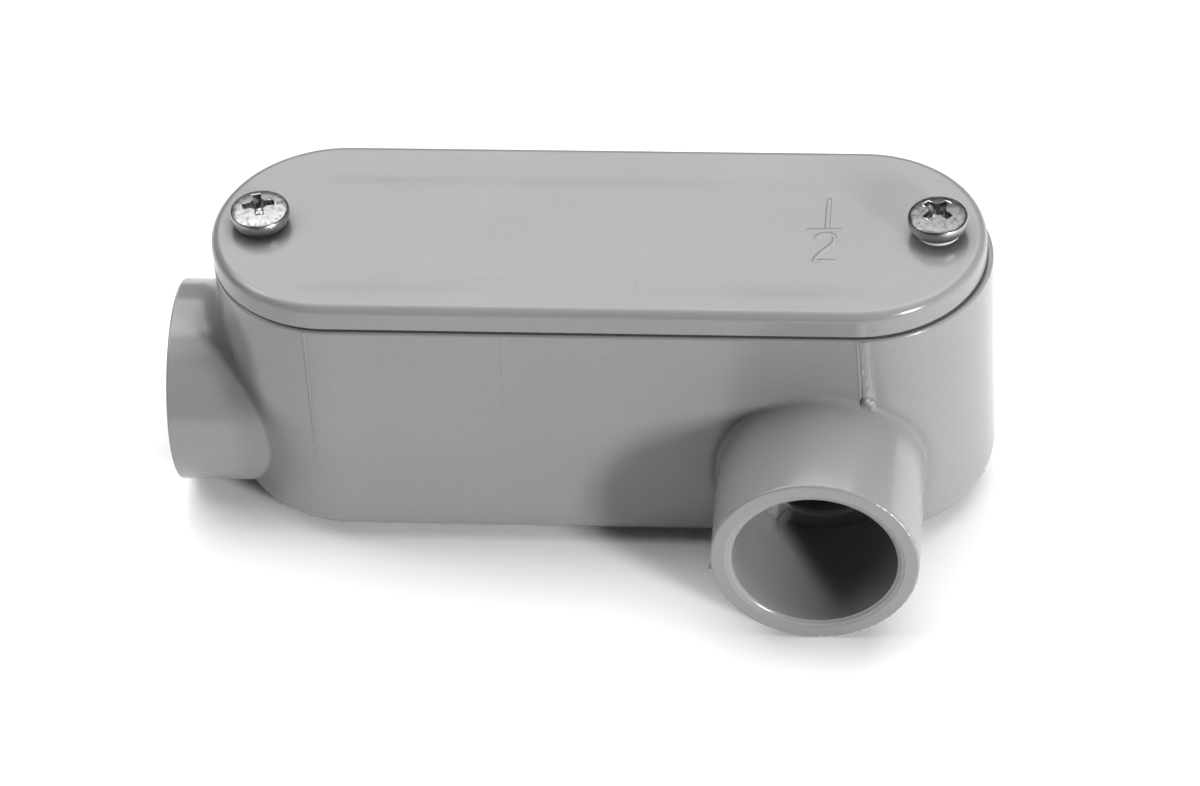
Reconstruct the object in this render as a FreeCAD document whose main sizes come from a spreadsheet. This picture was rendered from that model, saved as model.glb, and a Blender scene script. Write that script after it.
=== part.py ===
import FreeCAD, Part
import os, math
import Sketcher

V = FreeCAD.Vector
doc = FreeCAD.newDocument("conduit_body")

# ------------------------------------------------------------------ sizes, mm
sheet = doc.addObject("Spreadsheet::Sheet", "Sizes")
SIZES = [
    # housing, outside
    ("body_half_straight", 34.6),     # stadium centres at +-x
    ("body_half_width", 17.0),        # at the back plane
    ("body_draft", 0.23),             # degrees, walls open toward the rim
    ("body_height", 37.5),            # rim
    ("back_round", 6.0),              # rounding round the back edge
    ("hub_outer", 13.65),             # hub radius
    ("axis_height", 13.70),           # hub axes above the back plane
    ("end_mouth", 58.5),              # mouth of the end hub, from the origin
    ("side_offset", 29.45),           # side hub axis along x
    ("side_mouth", 33.8),             # mouth of the side hub, from the origin
    ("hub_fillet", 0.5),
    ("edge_break", 0.35),
    # sockets
    ("socket_bore", 10.85),
    ("socket_depth", 17.8),
    ("lead_wide", 0.95),              # lead-in at the mouth
    ("lead_deep", 0.45),
    ("throat_bore", 7.9),
    ("throat_round", 0.7),
    ("end_stop_wall", 2.2),
    # cavity
    ("cavity_half_width", 14.35),     # at the rim
    ("cavity_half_straight", 34.5),
    ("cavity_draft", 0.3),
    ("floor_thick", 2.8),
    ("floor_round", 3.0),
    ("block_top", 20.0),              # filled corners beside the end socket
    ("block_reach", 15.2),
    # screw bosses
    ("screw_offset", 44.80),
    ("screw_shift", -0.25),           # both screws sit this far toward the end hub
    ("boss_radius", 4.2),
    ("pilot_radius", 2.10),
    ("pilot_bottom", 27.8),
    # gasket
    ("gasket_thick", 0.6),
    ("gasket_shift", 0.05),           # the sheet is seen a little past the cover at the far end
    ("gasket_inset", 0.30),
    ("gasket_open_half_width", 13.9),
    ("gasket_open_half_length", 39.4),
    ("gasket_open_round", 5.0),
    ("gasket_hole", 2.35),
    # cover
    ("cover_shift", -0.35),           # the cover sits this far toward the end hub
    ("cover_side", -0.25),            # and this far toward the side hub
    ("cover_half_straight", 34.5),
    ("cover_half_width", 16.8),
    ("cover_thick", 3.65),
    ("cover_round", 1.35),
    ("cover_hole", 2.30),
    ("cover_recess", 1.3),            # hollow under the plate
    ("cover_recess_half_width", 12.9),
    ("cover_recess_half_length", 38.2),
    ("cover_recess_round", 5.0),
    ("mark_raise", 0.12),             # raised trade-size figure
    ("mark_x", 29.95),
    ("mark_y", -0.23),
    # cover screws
    ("end_proud", 0.35),              # the screws are not driven home: gap under each head
    ("far_proud", 0.8),
    ("head_radius", 4.0),
    ("head_height", 2.50),
    ("head_edge", 1.95),
    ("head_flat", 3.30),
    ("shank_radius", 2.05),
    ("shank_length", 12.7),
    ("shank_tip", 1.0),
    ("recess_half_length", 2.15),
    ("recess_half_width", 0.48),
    ("recess_depth", 1.7),
]
for row, (alias, value) in enumerate(SIZES, start=1):
    sheet.set("A%d" % row, alias)
    sheet.set("B%d" % row, "%s" % value)
    sheet.setAlias("B%d" % row, alias)
doc.recompute()
S = dict((alias, float(sheet.get(alias))) for alias, _ in SIZES)


def ref(expr):
    """sheet names in an expression -> Sizes.<name>"""
    names = sorted(S, key=len, reverse=True)
    out, i = "", 0
    while i < len(expr):
        for n in names:
            if expr.startswith(n, i):
                out += "Sizes." + n
                i += len(n)
                break
        else:
            out += expr[i]
            i += 1
    return out


def num(expr):
    """value of an expression made of names, numbers, + - * / and brackets"""
    tokens, i = [], 0
    while i < len(expr):
        c = expr[i]
        if c.isspace():
            i += 1
        elif c.isalpha():
            j = i
            while j < len(expr) and (expr[j].isalnum() or expr[j] == "_"):
                j += 1
            tokens.append(S[expr[i:j]])
            i = j
        elif c.isdigit() or c == ".":
            j = i
            while j < len(expr) and (expr[j].isdigit() or expr[j] == "."):
                j += 1
            tokens.append(float(expr[i:j]))
            i = j
        else:
            tokens.append(c)
            i += 1
    pos = [0]

    def atom():
        t = tokens[pos[0]]
        pos[0] += 1
        if t == "-":
            return -atom()
        if t == "(":
            v = add()
            pos[0] += 1
            return v
        return t

    def mul():
        v = atom()
        while pos[0] < len(tokens) and tokens[pos[0]] in ("*", "/"):
            op = tokens[pos[0]]
            pos[0] += 1
            w = atom()
            v = v * w if op == "*" else v / w
        return v

    def add():
        v = mul()
        while pos[0] < len(tokens) and tokens[pos[0]] in ("+", "-"):
            op = tokens[pos[0]]
            pos[0] += 1
            w = mul()
            v = v + w if op == "+" else v - w
        return v

    return add()


def origin_plane(body, role):
    for o in body.Origin.OriginFeatures:
        if o.Role == role:
            return o
    raise RuntimeError(role)


def sketch_on(body, name, role, dx="0", dy="0", dz="0"):
    sk = body.newObject("Sketcher::SketchObject", name)
    sk.AttachmentSupport = [(origin_plane(body, role), "")]
    sk.MapMode = "FlatFace"
    sk.AttachmentOffset = FreeCAD.Placement(V(num(dx), num(dy), num(dz)), FreeCAD.Rotation())
    for axis, e in (("x", dx), ("y", dy), ("z", dz)):
        if e != "0":
            sk.setExpression("AttachmentOffset.Base." + axis, ref(e))
    return sk


def dim(sk, kind, geo, point, expr):
    """distance of a point from the sketch origin, or a radius"""
    if kind == "Radius":
        i = sk.addConstraint(Sketcher.Constraint("Radius", geo, num(expr)))
    else:
        i = sk.addConstraint(Sketcher.Constraint(kind, -1, 1, geo, point, num(expr)))
    sk.setExpression("Constraints[%d]" % i, ref(expr))
    return i


def circle(sk, cx, cy, r):
    g = sk.addGeometry(Part.Circle(V(num(cx), num(cy), 0), V(0, 0, 1), num(r)), False)
    dim(sk, "DistanceX", g, 3, cx)
    dim(sk, "DistanceY", g, 3, cy)
    dim(sk, "Radius", g, 0, r)


def stadium(sk, cx, half_straight, r):
    x0, x1, rr = num(cx) - num(half_straight), num(cx) + num(half_straight), num(r)
    a = sk.addGeometry(Part.ArcOfCircle(Part.Circle(V(x1, 0, 0), V(0, 0, 1), rr), -math.pi / 2, math.pi / 2), False)
    b = sk.addGeometry(Part.ArcOfCircle(Part.Circle(V(x0, 0, 0), V(0, 0, 1), rr), math.pi / 2, 3 * math.pi / 2), False)
    t = sk.addGeometry(Part.LineSegment(V(x1, rr, 0), V(x0, rr, 0)), False)
    u = sk.addGeometry(Part.LineSegment(V(x0, -rr, 0), V(x1, -rr, 0)), False)
    sk.addConstraint(Sketcher.Constraint("Tangent", a, 2, t, 1))
    sk.addConstraint(Sketcher.Constraint("Tangent", t, 2, b, 1))
    sk.addConstraint(Sketcher.Constraint("Tangent", b, 2, u, 1))
    sk.addConstraint(Sketcher.Constraint("Tangent", u, 2, a, 1))
    dim(sk, "DistanceX", a, 3, "%s+%s" % (cx, half_straight))
    dim(sk, "DistanceY", a, 3, "0")
    dim(sk, "DistanceX", b, 3, "%s-%s" % (cx, half_straight))
    dim(sk, "Radius", a, 0, r)


def outline(sk, points):
    """closed outline; each point is (x, y) or (x, y, arc radius, side) where the
    arc belongs to the edge that ENDS at that point and side is +1 when the
    centre lies to the left of the direction of travel"""
    xy = [(num(p[0]), num(p[1])) for p in points]
    ids = []
    for k in range(len(points)):
        p, q = xy[k - 1], xy[k]
        spec = points[k]
        if len(spec) == 2:
            ids.append((sk.addGeometry(Part.LineSegment(V(p[0], p[1], 0), V(q[0], q[1], 0)), False), 1, 2))
            continue
        r, side = num(spec[2]), spec[3]
        mx, my = (p[0] + q[0]) / 2, (p[1] + q[1]) / 2
        dx, dy = q[0] - p[0], q[1] - p[1]
        c = math.hypot(dx, dy)
        h = math.sqrt(max(r * r - c * c / 4, 0.0))
        cx, cy = mx - side * dy / c * h, my + side * dx / c * h
        a0, a1 = math.atan2(p[1] - cy, p[0] - cx), math.atan2(q[1] - cy, q[0] - cx)
        if side > 0:
            while a1 <= a0:
                a1 += 2 * math.pi
            g = sk.addGeometry(Part.ArcOfCircle(Part.Circle(V(cx, cy, 0), V(0, 0, 1), r), a0, a1), False)
            ids.append((g, 1, 2))
        else:
            while a0 <= a1:
                a0 += 2 * math.pi
            g = sk.addGeometry(Part.ArcOfCircle(Part.Circle(V(cx, cy, 0), V(0, 0, 1), r), a1, a0), False)
            ids.append((g, 2, 1))
    n = len(points)
    for k in range(n):
        g, _, e = ids[k]
        h, s, _ = ids[(k + 1) % n]
        sk.addConstraint(Sketcher.Constraint("Coincident", g, e, h, s))
    for k in range(n):
        g, _, e = ids[k]
        dim(sk, "DistanceX", g, e, points[k][0])
        dim(sk, "DistanceY", g, e, points[k][1])
        if len(points[k]) == 4:
            chord = math.hypot(xy[k][0] - xy[k - 1][0], xy[k][1] - xy[k - 1][1])
            if chord > 1.999 * num(points[k][2]):     # half circle: its centre is held instead
                dim(sk, "DistanceX", g, 3, points[k][0])
            else:
                dim(sk, "Radius", g, 0, points[k][2])


def feature(body, kind, name, profile=None, **props):
    f = body.newObject(kind, name)
    if profile is not None:
        f.Profile = profile
    for key, value in props.items():
        if isinstance(value, str) and key in ("Length", "TaperAngle", "Radius", "Angle"):
            f.setExpression(key, ref(value))
        else:
            setattr(f, key, value)
    doc.recompute()
    if "Invalid" in f.State or "Error" in f.State or f.Shape.isNull():
        raise RuntimeError("feature failed: " + name)
    return f


def fillet(body, name, base, edges, radius):
    f = body.newObject("PartDesign::Fillet", name)
    f.Base = (base, edges)
    f.setExpression("Radius", ref(radius))
    doc.recompute()
    if "Invalid" in f.State or "Error" in f.State or f.Shape.isNull() or not f.Shape.isValid():
        raise RuntimeError("fillet failed: " + name)
    return f


def edges_at_z(shape, z, tol=0.02, keep=None):
    out = []
    for i, e in enumerate(shape.Edges, start=1):
        b = e.BoundBox
        if abs(b.ZMin - z) < tol and abs(b.ZMax - z) < tol and (keep is None or keep(e)):
            out.append("Edge%d" % i)
    return out


def root_edges(shape):
    """edges where a hub barrel meets the outside of the box"""
    faces = shape.Faces
    owners = {}
    for i, f in enumerate(faces):
        for e in f.Edges:
            owners.setdefault(e.hashCode(), []).append(i)
    out = []
    for i, e in enumerate(shape.Edges, start=1):
        own = owners.get(e.hashCode(), [])
        if len(own) < 2 or own[0] == own[1]:
            continue
        hub = [k for k in own if type(faces[k].Surface).__name__ == "Cylinder" and abs(faces[k].Surface.Radius - S["hub_outer"]) < 1e-4]
        if len(hub) != 1:
            continue
        b = e.BoundBox
        if b.XMax < -S["end_mouth"] + 0.1 or b.YMax < -S["side_mouth"] + 0.1:
            continue
        out.append("Edge%d" % i)
    return out


# ------------------------------------------------------------------- housing
# One moulding: oblong box, open at the rim, hubs with sockets at the end and
# at the side, screw bosses inside at both ends.
housing = doc.addObject("PartDesign::Body", "housing")
housing.Label = "housing"

sk = sketch_on(housing, "BoxOutline", "XY_Plane")
stadium(sk, "0", "body_half_straight", "body_half_width")
box = feature(housing, "PartDesign::Pad", "Box", sk, Length="body_height", TaperAngle="body_draft")
back = fillet(housing, "BackRound", box, edges_at_z(box.Shape, 0.0), "back_round")

# hubs, run well into the box before it is hollowed
sk = sketch_on(housing, "EndHubOutline", "YZ_Plane", dz="-end_mouth")
circle(sk, "0", "axis_height", "hub_outer")
end_hub = feature(housing, "PartDesign::Pad", "EndHub", sk, Length="20")
sk = sketch_on(housing, "SideHubOutline", "XZ_Plane", dz="side_mouth")
circle(sk, "side_offset", "axis_height", "hub_outer")
side_hub = feature(housing, "PartDesign::Pad", "SideHub", sk, Length="23", Reversed=True)
roots = fillet(housing, "HubRoots", side_hub, root_edges(side_hub.Shape), "hub_fillet")


def free_edges(shape):
    """the outer edges of both hub mouths and of the rim"""
    out = []
    for i, e in enumerate(shape.Edges, start=1):
        b = e.BoundBox
        if b.XMax < -S["end_mouth"] + 0.05 or b.YMax < -S["side_mouth"] + 0.05 or b.ZMin > S["body_height"] - 0.05:
            out.append("Edge%d" % i)
    return out


broken = fillet(housing, "EdgeBreak", roots, free_edges(roots.Shape), "edge_break")

sk = sketch_on(housing, "CavityOutline", "XY_Plane", dz="body_height")
stadium(sk, "0", "cavity_half_straight", "cavity_half_width")
cavity = feature(housing, "PartDesign::Pocket", "Cavity", sk, Length="body_height-floor_thick", TaperAngle="-cavity_draft")
inner = fillet(housing, "FloorRound", cavity, edges_at_z(cavity.Shape, S["floor_thick"]), "floor_round")

# socket tube of the end hub running on inside the box
sk = sketch_on(housing, "EndTubeOutline", "YZ_Plane", dz="-cavity_half_straight-cavity_half_width-1")
circle(sk, "0", "axis_height", "hub_outer")
end_tube = feature(housing, "PartDesign::Pad", "EndTube", sk,
                   Length="socket_depth+end_stop_wall-end_mouth+cavity_half_straight+cavity_half_width+1")

# filled corners beside the tube, ending inside the round end wall
sk = sketch_on(housing, "EndBlockOutline", "XY_Plane", dz="floor_thick-0.3")
outline(sk, [
    ("-end_mouth+socket_depth+end_stop_wall", "-block_reach*0.9645"),
    ("-end_mouth+socket_depth+end_stop_wall", "block_reach*0.9645"),
    ("-cavity_half_straight-block_reach*0.766", "block_reach*0.6428"),
    ("-cavity_half_straight-block_reach*0.9962", "block_reach*0.0872"),
    ("-cavity_half_straight-block_reach*0.9962", "-block_reach*0.0872"),
    ("-cavity_half_straight-block_reach*0.766", "-block_reach*0.6428"),
])
block = feature(housing, "PartDesign::Pad", "EndBlock", sk, Length="block_top-floor_thick+0.3")

# screw bosses, each run into its end wall
sk = sketch_on(housing, "EndBossOutline", "XY_Plane", dz="axis_height+socket_bore+1")
outline(sk, [
    ("screw_shift-screw_offset-5.1", "-boss_radius"),
    ("screw_shift-screw_offset", "-boss_radius"),
    ("screw_shift-screw_offset", "boss_radius", "boss_radius", 1),
    ("screw_shift-screw_offset-5.1", "boss_radius"),
])
end_boss = feature(housing, "PartDesign::Pad", "EndBoss", sk,
                   Length="body_height-axis_height-socket_bore-1")
sk = sketch_on(housing, "FarBossOutline", "XY_Plane", dz="floor_thick-0.5")
outline(sk, [
    ("screw_shift+screw_offset+5.1", "boss_radius"),
    ("screw_shift+screw_offset", "boss_radius"),
    ("screw_shift+screw_offset", "-boss_radius", "boss_radius", 1),
    ("screw_shift+screw_offset+5.1", "-boss_radius"),
])
far_boss = feature(housing, "PartDesign::Pad", "FarBoss", sk, Length="body_height-floor_thick+0.5")

# sockets turned out round the hub axes: lead-in, bore, stop, rounded throat
solid_before = far_boss.Shape.Volume
sk = sketch_on(housing, "EndSocketProfile", "XZ_Plane", dy="axis_height")
outline(sk, [
    ("-end_mouth-1", "0"),
    ("-end_mouth-1", "socket_bore+lead_wide"),
    ("-end_mouth", "socket_bore+lead_wide"),
    ("-end_mouth+lead_deep", "socket_bore"),
    ("-end_mouth+socket_depth", "socket_bore"),
    ("-end_mouth+socket_depth", "throat_bore+throat_round"),
    ("-end_mouth+socket_depth+throat_round", "throat_bore", "throat_round", 1),
    ("-end_mouth+socket_depth+end_stop_wall-throat_round", "throat_bore"),
    ("-end_mouth+socket_depth+end_stop_wall", "throat_bore+throat_round", "throat_round", 1),
    ("-end_mouth+socket_depth+end_stop_wall+1", "throat_bore+throat_round"),
    ("-end_mouth+socket_depth+end_stop_wall+1", "0"),
])
end_socket = feature(housing, "PartDesign::Groove", "EndSocket", sk,
                     ReferenceAxis=(sk, ["H_Axis"]), Angle=360.0)
if end_socket.Shape.Volume > solid_before - 5000:
    raise RuntimeError("end socket did not cut")
sk = sketch_on(housing, "SideSocketProfile", "YZ_Plane", dy="axis_height", dz="side_offset")
outline(sk, [
    ("-side_mouth-1", "0"),
    ("-side_mouth-1", "socket_bore+lead_wide"),
    ("-side_mouth", "socket_bore+lead_wide"),
    ("-side_mouth+lead_deep", "socket_bore"),
    ("-side_mouth+socket_depth", "socket_bore"),
    ("-side_mouth+socket_depth", "throat_bore+throat_round"),
    ("-side_mouth+socket_depth+throat_round", "throat_bore", "throat_round", 1),
    ("-cavity_half_width+2", "throat_bore"),
    ("-cavity_half_width+2", "0"),
])
side_socket = feature(housing, "PartDesign::Groove", "SideSocket", sk,
                      ReferenceAxis=(sk, ["H_Axis"]), Angle=360.0)
if side_socket.Shape.Volume > end_socket.Shape.Volume - 5000:
    raise RuntimeError("side socket did not cut")

# pilot holes for the cover screws, blind, from the rim
sk = sketch_on(housing, "PilotOutline", "XY_Plane", dz="body_height")
circle(sk, "screw_shift-screw_offset", "0", "pilot_radius")
circle(sk, "screw_shift+screw_offset", "0", "pilot_radius")
pilots = feature(housing, "PartDesign::Pocket", "Pilots", sk, Length="body_height-pilot_bottom")
if pilots.Shape.Volume > side_socket.Shape.Volume - 200:
    raise RuntimeError("pilot holes did not cut")

# -------------------------------------------------------------------- gasket
gasket = doc.addObject("PartDesign::Body", "gasket")
gasket.Label = "gasket"
sk = sketch_on(gasket, "GasketOutline", "XY_Plane", dy="cover_side", dz="body_height")
stadium(sk, "gasket_shift", "cover_half_straight", "cover_half_width-gasket_inset")
pad = feature(gasket, "PartDesign::Pad", "GasketSheet", sk, Length="gasket_thick")
sk = sketch_on(gasket, "GasketOpening", "XY_Plane", dz="body_height+gasket_thick")
outline(sk, [
    ("gasket_open_half_length-gasket_open_round", "-gasket_open_half_width"),
    ("gasket_open_half_length", "-gasket_open_half_width+gasket_open_round", "gasket_open_round", 1),
    ("gasket_open_half_length", "gasket_open_half_width-gasket_open_round"),
    ("gasket_open_half_length-gasket_open_round", "gasket_open_half_width", "gasket_open_round", 1),
    ("-gasket_open_half_length+gasket_open_round", "gasket_open_half_width"),
    ("-gasket_open_half_length", "gasket_open_half_width-gasket_open_round", "gasket_open_round", 1),
    ("-gasket_open_half_length", "-gasket_open_half_width+gasket_open_round"),
    ("-gasket_open_half_length+gasket_open_round", "-gasket_open_half_width", "gasket_open_round", 1),
])
opened = feature(gasket, "PartDesign::Pocket", "GasketFrame", sk, Length="gasket_thick")
sk = sketch_on(gasket, "GasketHoles", "XY_Plane", dz="body_height+gasket_thick")
circle(sk, "screw_shift-screw_offset", "0", "gasket_hole")
circle(sk, "screw_shift+screw_offset", "0", "gasket_hole")
holed = feature(gasket, "PartDesign::Pocket", "GasketScrewHoles", sk, Length="gasket_thick")
if not holed.Shape.Volume < opened.Shape.Volume < pad.Shape.Volume:
    raise RuntimeError("gasket was not cut")

# --------------------------------------------------------------------- cover
cover = doc.addObject("PartDesign::Body", "cover")
cover.Label = "cover"
sk = sketch_on(cover, "CoverOutline", "XY_Plane", dy="cover_side", dz="body_height+gasket_thick")
stadium(sk, "cover_shift", "cover_half_straight", "cover_half_width")
plate = feature(cover, "PartDesign::Pad", "CoverPlate", sk, Length="cover_thick")
edge = fillet(cover, "CoverRound", plate, edges_at_z(plate.Shape, S["body_height"] + S["gasket_thick"] + S["cover_thick"]), "cover_round")
sk = sketch_on(cover, "CoverHollow", "XY_Plane", dz="body_height+gasket_thick")
outline(sk, [
    ("cover_recess_half_length-cover_recess_round", "-cover_recess_half_width"),
    ("cover_recess_half_length", "-cover_recess_half_width+cover_recess_round", "cover_recess_round", 1),
    ("cover_recess_half_length", "cover_recess_half_width-cover_recess_round"),
    ("cover_recess_half_length-cover_recess_round", "cover_recess_half_width", "cover_recess_round", 1),
    ("-cover_recess_half_length+cover_recess_round", "cover_recess_half_width"),
    ("-cover_recess_half_length", "cover_recess_half_width-cover_recess_round", "cover_recess_round", 1),
    ("-cover_recess_half_length", "-cover_recess_half_width+cover_recess_round"),
    ("-cover_recess_half_length+cover_recess_round", "-cover_recess_half_width", "cover_recess_round", 1),
])
hollow = feature(cover, "PartDesign::Pocket", "CoverUnderside", sk, Length="cover_recess", Reversed=True)
sk = sketch_on(cover, "CoverHoles", "XY_Plane", dz="body_height+gasket_thick+cover_thick")
circle(sk, "screw_shift-screw_offset", "0", "cover_hole")
circle(sk, "screw_shift+screw_offset", "0", "cover_hole")
holes = feature(cover, "PartDesign::Pocket", "CoverScrewHoles", sk, Length="cover_thick")
if not holes.Shape.Volume < hollow.Shape.Volume < edge.Shape.Volume:
    raise RuntimeError("cover was not cut")

# raised trade-size figure, a fraction: upper digit, bar, lower digit
TOP = "body_height+gasket_thick+cover_thick"
def at(x, y):
    return ("mark_x%+.3f" % x, "mark_y%+.3f" % y)
sk = sketch_on(cover, "MarkUpper", "XY_Plane", dz=TOP)
outline(sk, [at(-0.30, 0.62), at(0.36, 0.62), at(0.30, 6.40), at(-0.36, 6.40)])
mark = feature(cover, "PartDesign::Pad", "MarkUpperPad", sk, Length="mark_raise")
sk = sketch_on(cover, "MarkBar", "XY_Plane", dz=TOP)
outline(sk, [at(-2.30, -0.33), at(2.30, -0.27), at(2.30, 0.33), at(-2.30, 0.27)])
mark = feature(cover, "PartDesign::Pad", "MarkBarPad", sk, Length="mark_raise")
sk = sketch_on(cover, "MarkLower", "XY_Plane", dz=TOP)
outline(sk, [
    at(-1.50, -6.48), at(1.45, -6.40), at(1.45, -5.80), at(-0.78, -5.82),
    at(-0.18, -4.62), at(1.12, -3.10), at(1.56, -2.35), at(1.62, -1.55), at(1.30, -0.92), at(0.72, -0.50), at(-0.08, -0.36),
    at(-0.85, -0.52), at(-1.35, -0.98), at(-1.60, -1.50), at(-1.05, -1.72), at(-0.80, -1.28), at(-0.50, -1.04), at(-0.02, -0.92),
    at(0.50, -1.00), at(0.90, -1.32), at(1.00, -1.70), at(0.92, -2.10), at(0.62, -2.62), at(-0.72, -4.22), at(-1.30, -5.22),
])
mark = feature(cover, "PartDesign::Pad", "MarkLowerPad", sk, Length="mark_raise")

# -------------------------------------------------------------- cover screws
def screw(label, offset, seat):
    body = doc.addObject("PartDesign::Body", label)
    body.Label = label
    sk = sketch_on(body, label + "_Profile", "XZ_Plane")
    outline(sk, [
        ("0", "-shank_length"),
        ("shank_radius-shank_tip*0.6", "-shank_length"),
        ("shank_radius", "-shank_length+shank_tip"),
        ("shank_radius", "0"),
        ("head_radius-0.45", "0"),
        ("head_radius", "0.45", "0.45", 1),
        ("head_radius", "head_edge"),
        ("head_flat", "head_height", "0.9", 1),
        ("0", "head_height"),
    ])
    turned = feature(body, "PartDesign::Revolution", label + "_Turned", sk,
                     ReferenceAxis=(sk, ["V_Axis"]), Angle=360.0)
    sk = sketch_on(body, label + "_Cross", "XY_Plane", dz="head_height")
    a, b = "recess_half_length", "recess_half_width"
    outline(sk, [
        (a, b), (b, b), (b, a), ("-" + b, a), ("-" + b, b), ("-" + a, b),
        ("-" + a, "-" + b), ("-" + b, "-" + b), ("-" + b, "-" + a), (b, "-" + a), (b, "-" + b), (a, "-" + b),
    ])
    crossed = feature(body, "PartDesign::Pocket", label + "_Recess", sk, Length="recess_depth")
    if crossed.Shape.Volume > turned.Shape.Volume - 1:
        raise RuntimeError("recess did not cut")
    body.Placement = FreeCAD.Placement(V(num(offset), 0, num(seat)), FreeCAD.Rotation())
    body.setExpression("Placement.Base.x", ref(offset))
    body.setExpression("Placement.Base.z", ref(seat))
    return body

screw_end = screw("screw_end", "screw_shift-screw_offset", TOP + "+end_proud")
screw_far = screw("screw_far", "screw_shift+screw_offset", TOP + "+far_proud")
doc.recompute()

# --------------------------------------------------------------------- files
for o in doc.Objects:
    if "Invalid" in o.State or "Error" in o.State:
        raise RuntimeError("bad state: " + o.Name)
os.makedirs("parts", exist_ok=True)
for body in (housing, gasket, cover, screw_end, screw_far):
    shape = body.Shape
    if shape.isNull() or not shape.isValid() or len(shape.Solids) != 1:
        raise RuntimeError("bad shape: " + body.Label)
    b = shape.BoundBox
    print(body.Label, "volume %.1f" % shape.Volume, "box %.2f %.2f %.2f .. %.2f %.2f %.2f" % (b.XMin, b.YMin, b.ZMin, b.XMax, b.YMax, b.ZMax))
    shape.exportStep("parts/%s.step" % body.Label)
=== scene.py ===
import math

import bmesh
import bpy
import numpy as np
from mathutils import Matrix, Vector, noise


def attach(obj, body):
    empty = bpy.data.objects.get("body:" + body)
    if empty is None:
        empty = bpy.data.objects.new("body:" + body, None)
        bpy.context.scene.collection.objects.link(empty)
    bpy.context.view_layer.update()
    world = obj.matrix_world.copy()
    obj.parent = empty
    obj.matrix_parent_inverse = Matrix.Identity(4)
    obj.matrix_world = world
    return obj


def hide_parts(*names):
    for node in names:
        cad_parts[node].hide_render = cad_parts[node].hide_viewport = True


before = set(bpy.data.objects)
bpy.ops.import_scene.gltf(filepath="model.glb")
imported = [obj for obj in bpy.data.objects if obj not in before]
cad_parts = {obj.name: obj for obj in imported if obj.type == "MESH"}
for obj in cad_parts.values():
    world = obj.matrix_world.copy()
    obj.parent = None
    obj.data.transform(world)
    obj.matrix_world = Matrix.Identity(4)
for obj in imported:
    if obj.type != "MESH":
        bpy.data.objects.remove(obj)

# the file that Blender starts with may hold a cube, a lamp and a camera
for o in [bpy.data.objects.get(n) for n in ("Cube", "Light", "Camera")]:
    if o is not None:
        bpy.data.objects.remove(o)
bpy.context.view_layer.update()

MM = 0.001
# sizes of the part, mm
HALF_STRAIGHT, HALF_WIDTH, DRAFT, RIM = 34.6, 17.0, math.tan(math.radians(0.23)), 37.5
HUB_R, AXIS_Z, SIDE_X, SIDE_MOUTH = 13.65, 13.70, 29.45, 33.8
BORE_R, SOCKET_END = 10.85, 16.0
COVER_X, COVER_Y, COVER_STRAIGHT, COVER_WIDTH = -0.35, -0.25, 34.5, 16.8
COVER_TOP, COVER_ROUND = 41.75, 1.35
SCREW_END, END_PROUD, SCREW_FAR, FAR_PROUD = -45.05, 0.35, 44.55, 0.8


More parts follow.
